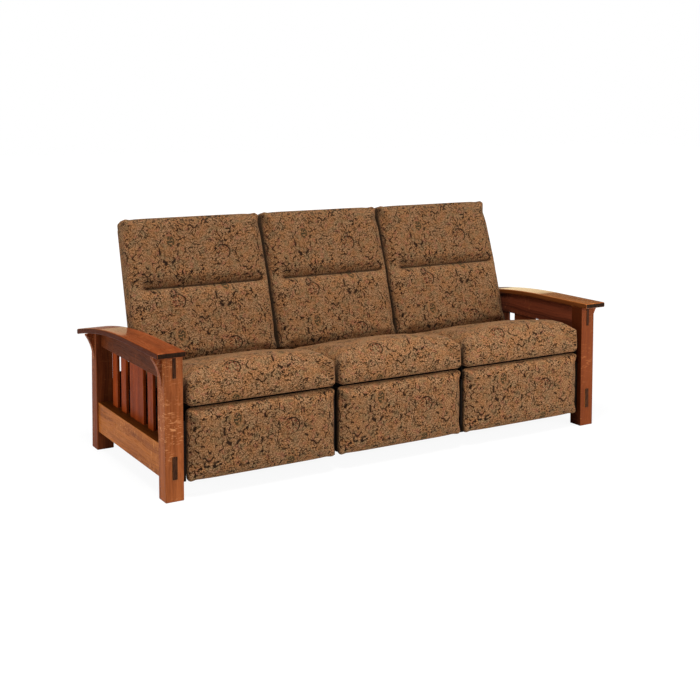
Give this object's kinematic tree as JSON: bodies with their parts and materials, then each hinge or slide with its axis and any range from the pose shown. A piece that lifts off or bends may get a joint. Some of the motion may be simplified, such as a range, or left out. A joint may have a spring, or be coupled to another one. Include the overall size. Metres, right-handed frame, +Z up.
{
  "type": "reclining sofa",
  "caption": "Slatted oak reclining sofa with bowed flat arms, separate tilting backs and fold-out footrests in patterned upholstery.",
  "frame": {"origin": "middle of the sofa's footprint, on the floor", "axes": "+X to the right as seen from in front, +Y from the front to the back, +Z up"},
  "size_m": [2.159, 0.935, 0.9693],
  "materials": {
    "oak": "stained quartersawn oak, satin lacquer",
    "frame_wood": "plain hardwood and plywood, dark sealer",
    "fabric": "tan chenille tapestry with dark brown scrolls",
    "link_steel": "black painted steel, satin",
    "bolt_steel": "zinc plated steel",
    "webbing": "woven elastic webbing, matt"
  },
  "bodies": {
    "root": {"left_arm_top": "oak", "left_front_leg": "oak", "left_rear_leg": "oak", "left_lower_side_rail": "oak", "left_upper_side_rail": "oak", "left_side_slats": "oak", "left_corbels": "oak", "right_arm_top": "oak", "right_front_leg": "oak", "right_rear_leg": "oak", "right_lower_side_rail": "oak", "right_upper_side_rail": "oak", "right_side_slats": "oak", "right_corbels": "oak", "front_rail": "frame_wood", "rear_rail": "frame_wood", "bay_boards": "frame_wood", "frame_bolts": "bolt_steel", "seat_webbing": "webbing", "pivot_pins": "bolt_steel", "left_seat_cushion": "fabric", "left_seat_frame": "frame_wood", "left_side_plates": "link_steel", "middle_seat_cushion": "fabric", "middle_seat_frame": "frame_wood", "middle_side_plates": "link_steel", "right_seat_cushion": "fabric", "right_seat_frame": "frame_wood", "right_side_plates": "link_steel"},
    "left_back": {"left_back_board": "frame_wood", "left_back_cushion": "fabric", "left_back_brackets": "link_steel"},
    "left_drive": {"left_drive_links": "link_steel", "left_torque_tube": "link_steel"},
    "left_lift": {"left_lift_links": "link_steel"},
    "left_control": {"left_control_links": "link_steel"},
    "left_footrest": {"left_footrest_board": "frame_wood", "left_footrest_pad": "fabric", "left_footrest_brackets": "link_steel"},
    "middle_back": {"middle_back_board": "frame_wood", "middle_back_cushion": "fabric", "middle_back_brackets": "link_steel"},
    "middle_drive": {"middle_drive_links": "link_steel", "middle_torque_tube": "link_steel"},
    "middle_lift": {"middle_lift_links": "link_steel"},
    "middle_control": {"middle_control_links": "link_steel"},
    "middle_footrest": {"middle_footrest_board": "frame_wood", "middle_footrest_pad": "fabric", "middle_footrest_brackets": "link_steel"},
    "right_back": {"right_back_board": "frame_wood", "right_back_cushion": "fabric", "right_back_brackets": "link_steel"},
    "right_drive": {"right_drive_links": "link_steel", "right_torque_tube": "link_steel"},
    "right_lift": {"right_lift_links": "link_steel"},
    "right_control": {"right_control_links": "link_steel"},
    "right_footrest": {"right_footrest_board": "frame_wood", "right_footrest_pad": "fabric", "right_footrest_brackets": "link_steel"}
  },
  "joints": [
    {"name": "left_back_recline", "type": "hinge", "parent": "root", "child": "left_back", "pos_m": [-0.63967, 0.1625, 0.33], "axis": [-1, 0, 0], "range_deg": [0, 30]},
    {"name": "left_footrest_extend", "type": "hinge", "parent": "root", "child": "left_drive", "pos_m": [-0.63967, -0.3155, 0.288], "axis": [-1, 0, 0], "range_deg": [0, 75]},
    {"name": "left_lift_turn", "type": "hinge", "parent": "left_drive", "child": "left_lift", "pos_m": [-0.63967, -0.3155, 0.112], "axis": [-1, 0, 0], "range_deg": [-114, 1]},
    {"name": "left_footrest_tip", "type": "hinge", "parent": "left_lift", "child": "left_footrest", "pos_m": [-0.63967, -0.3575, 0.292], "axis": [-1, 0, 0], "range_deg": [-1, 125]},
    {"name": "left_control_swing", "type": "hinge", "parent": "root", "child": "left_control", "pos_m": [-0.63967, -0.2855, 0.276], "axis": [-1, 0, 0], "range_deg": [-1, 75]},
    {"name": "middle_back_recline", "type": "hinge", "parent": "root", "child": "middle_back", "pos_m": [0, 0.1625, 0.33], "axis": [-1, 0, 0], "range_deg": [0, 30]},
    {"name": "middle_footrest_extend", "type": "hinge", "parent": "root", "child": "middle_drive", "pos_m": [0, -0.3155, 0.288], "axis": [-1, 0, 0], "range_deg": [0, 75]},
    {"name": "middle_lift_turn", "type": "hinge", "parent": "middle_drive", "child": "middle_lift", "pos_m": [0, -0.3155, 0.112], "axis": [-1, 0, 0], "range_deg": [-114, 1]},
    {"name": "middle_footrest_tip", "type": "hinge", "parent": "middle_lift", "child": "middle_footrest", "pos_m": [0, -0.3575, 0.292], "axis": [-1, 0, 0], "range_deg": [-1, 125]},
    {"name": "middle_control_swing", "type": "hinge", "parent": "root", "child": "middle_control", "pos_m": [0, -0.2855, 0.276], "axis": [-1, 0, 0], "range_deg": [-1, 75]},
    {"name": "right_back_recline", "type": "hinge", "parent": "root", "child": "right_back", "pos_m": [0.63967, 0.1625, 0.33], "axis": [-1, 0, 0], "range_deg": [0, 30]},
    {"name": "right_footrest_extend", "type": "hinge", "parent": "root", "child": "right_drive", "pos_m": [0.63967, -0.3155, 0.288], "axis": [-1, 0, 0], "range_deg": [0, 75]},
    {"name": "right_lift_turn", "type": "hinge", "parent": "right_drive", "child": "right_lift", "pos_m": [0.63967, -0.3155, 0.112], "axis": [-1, 0, 0], "range_deg": [-114, 1]},
    {"name": "right_footrest_tip", "type": "hinge", "parent": "right_lift", "child": "right_footrest", "pos_m": [0.63967, -0.3575, 0.292], "axis": [-1, 0, 0], "range_deg": [-1, 125]},
    {"name": "right_control_swing", "type": "hinge", "parent": "root", "child": "right_control", "pos_m": [0.63967, -0.2855, 0.276], "axis": [-1, 0, 0], "range_deg": [-1, 75]}
  ],
  "couplings": [
    {"joint": "left_lift_turn", "follows": "left_footrest_extend", "ratio": -1.4933},
    {"joint": "left_footrest_tip", "follows": "left_footrest_extend", "ratio": 1.64},
    {"joint": "left_control_swing", "follows": "left_footrest_extend", "ratio": 0.98},
    {"joint": "middle_lift_turn", "follows": "middle_footrest_extend", "ratio": -1.4933},
    {"joint": "middle_footrest_tip", "follows": "middle_footrest_extend", "ratio": 1.64},
    {"joint": "middle_control_swing", "follows": "middle_footrest_extend", "ratio": 0.98},
    {"joint": "right_lift_turn", "follows": "right_footrest_extend", "ratio": -1.4933},
    {"joint": "right_footrest_tip", "follows": "right_footrest_extend", "ratio": 1.64},
    {"joint": "right_control_swing", "follows": "right_footrest_extend", "ratio": 0.98}
  ]
}
